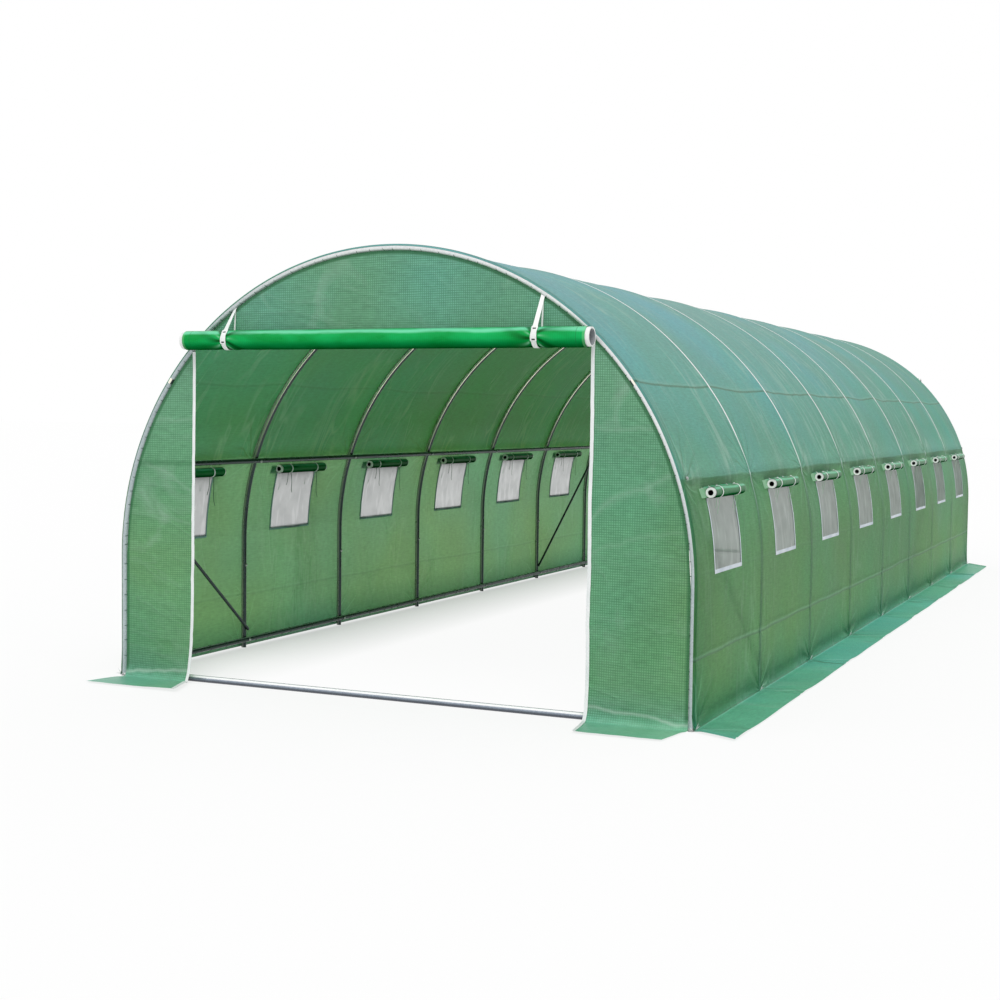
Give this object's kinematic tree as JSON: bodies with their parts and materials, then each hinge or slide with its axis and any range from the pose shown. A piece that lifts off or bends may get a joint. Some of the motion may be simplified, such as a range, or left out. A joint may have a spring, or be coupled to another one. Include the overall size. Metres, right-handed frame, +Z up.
{
  "type": "polytunnel greenhouse",
  "caption": "Long walk-in polytunnel of steel hoops under a green sheet, with netted windows, ground skirts and a rolled-up door at each end.",
  "frame": {"origin": "on the ground, at the middle of the tunnel's length and width", "axes": "+Z up, +Y along the tunnel towards the rear door, +X to the right seen from the front door"},
  "size_m": [4, 10.6, 2.4711],
  "materials": {
    "dark_steel_tube": "zinc-coated steel, dull and dark",
    "bright_steel_tube": "zinc-coated steel, bright",
    "roof_sheet": "reinforced polyethylene sheet, satin, lets light through",
    "wall_sheet": "reinforced polyethylene sheet, satin, lets light through",
    "end_wall_sheet": "reinforced polyethylene sheet with a woven grid, satin",
    "skirt_sheet": "reinforced polyethylene sheet, satin",
    "window_netting": "fine insect netting",
    "window_flap_sheet": "polyethylene sheet rolled up, glossy",
    "door_sheet": "polyethylene sheet rolled up, glossy",
    "core_tube": "plain white plastic tube",
    "strap": "white plastic strap"
  },
  "bodies": {
    "root": {"hoop_2": "dark_steel_tube", "hoop_3": "dark_steel_tube", "hoop_4": "dark_steel_tube", "hoop_5": "dark_steel_tube", "hoop_6": "dark_steel_tube", "hoop_7": "dark_steel_tube", "hoop_8": "dark_steel_tube", "side_rail_left": "dark_steel_tube", "side_rail_right": "dark_steel_tube", "ridge_pole": "dark_steel_tube", "ground_rail_left": "dark_steel_tube", "ground_rail_right": "dark_steel_tube", "front_braces": "dark_steel_tube", "middle_braces": "dark_steel_tube", "rear_braces": "dark_steel_tube", "front_ground_bar": "bright_steel_tube", "rear_ground_bar": "bright_steel_tube", "hoop_1": "bright_steel_tube", "hoop_9": "bright_steel_tube", "roof_cover": "roof_sheet", "left_wall_cover": "wall_sheet", "right_wall_cover": "wall_sheet", "front_gable": "end_wall_sheet", "rear_gable": "end_wall_sheet", "front_panel_left": "end_wall_sheet", "front_panel_right": "end_wall_sheet", "rear_panel_left": "end_wall_sheet", "rear_panel_right": "end_wall_sheet", "left_skirt": "skirt_sheet", "right_skirt": "skirt_sheet", "front_skirts": "skirt_sheet", "rear_skirts": "skirt_sheet", "window_nets_left": "window_netting", "window_nets_right": "window_netting", "window_flaps_left": "window_flap_sheet", "window_flaps_right": "window_flap_sheet", "front_door_roll": "door_sheet", "rear_door_roll": "door_sheet", "window_flap_cores_left": "core_tube", "window_flap_cores_right": "core_tube", "front_door_core": "core_tube", "rear_door_core": "core_tube", "front_door_straps": "strap", "rear_door_straps": "strap"}
  },
  "joints": []
}
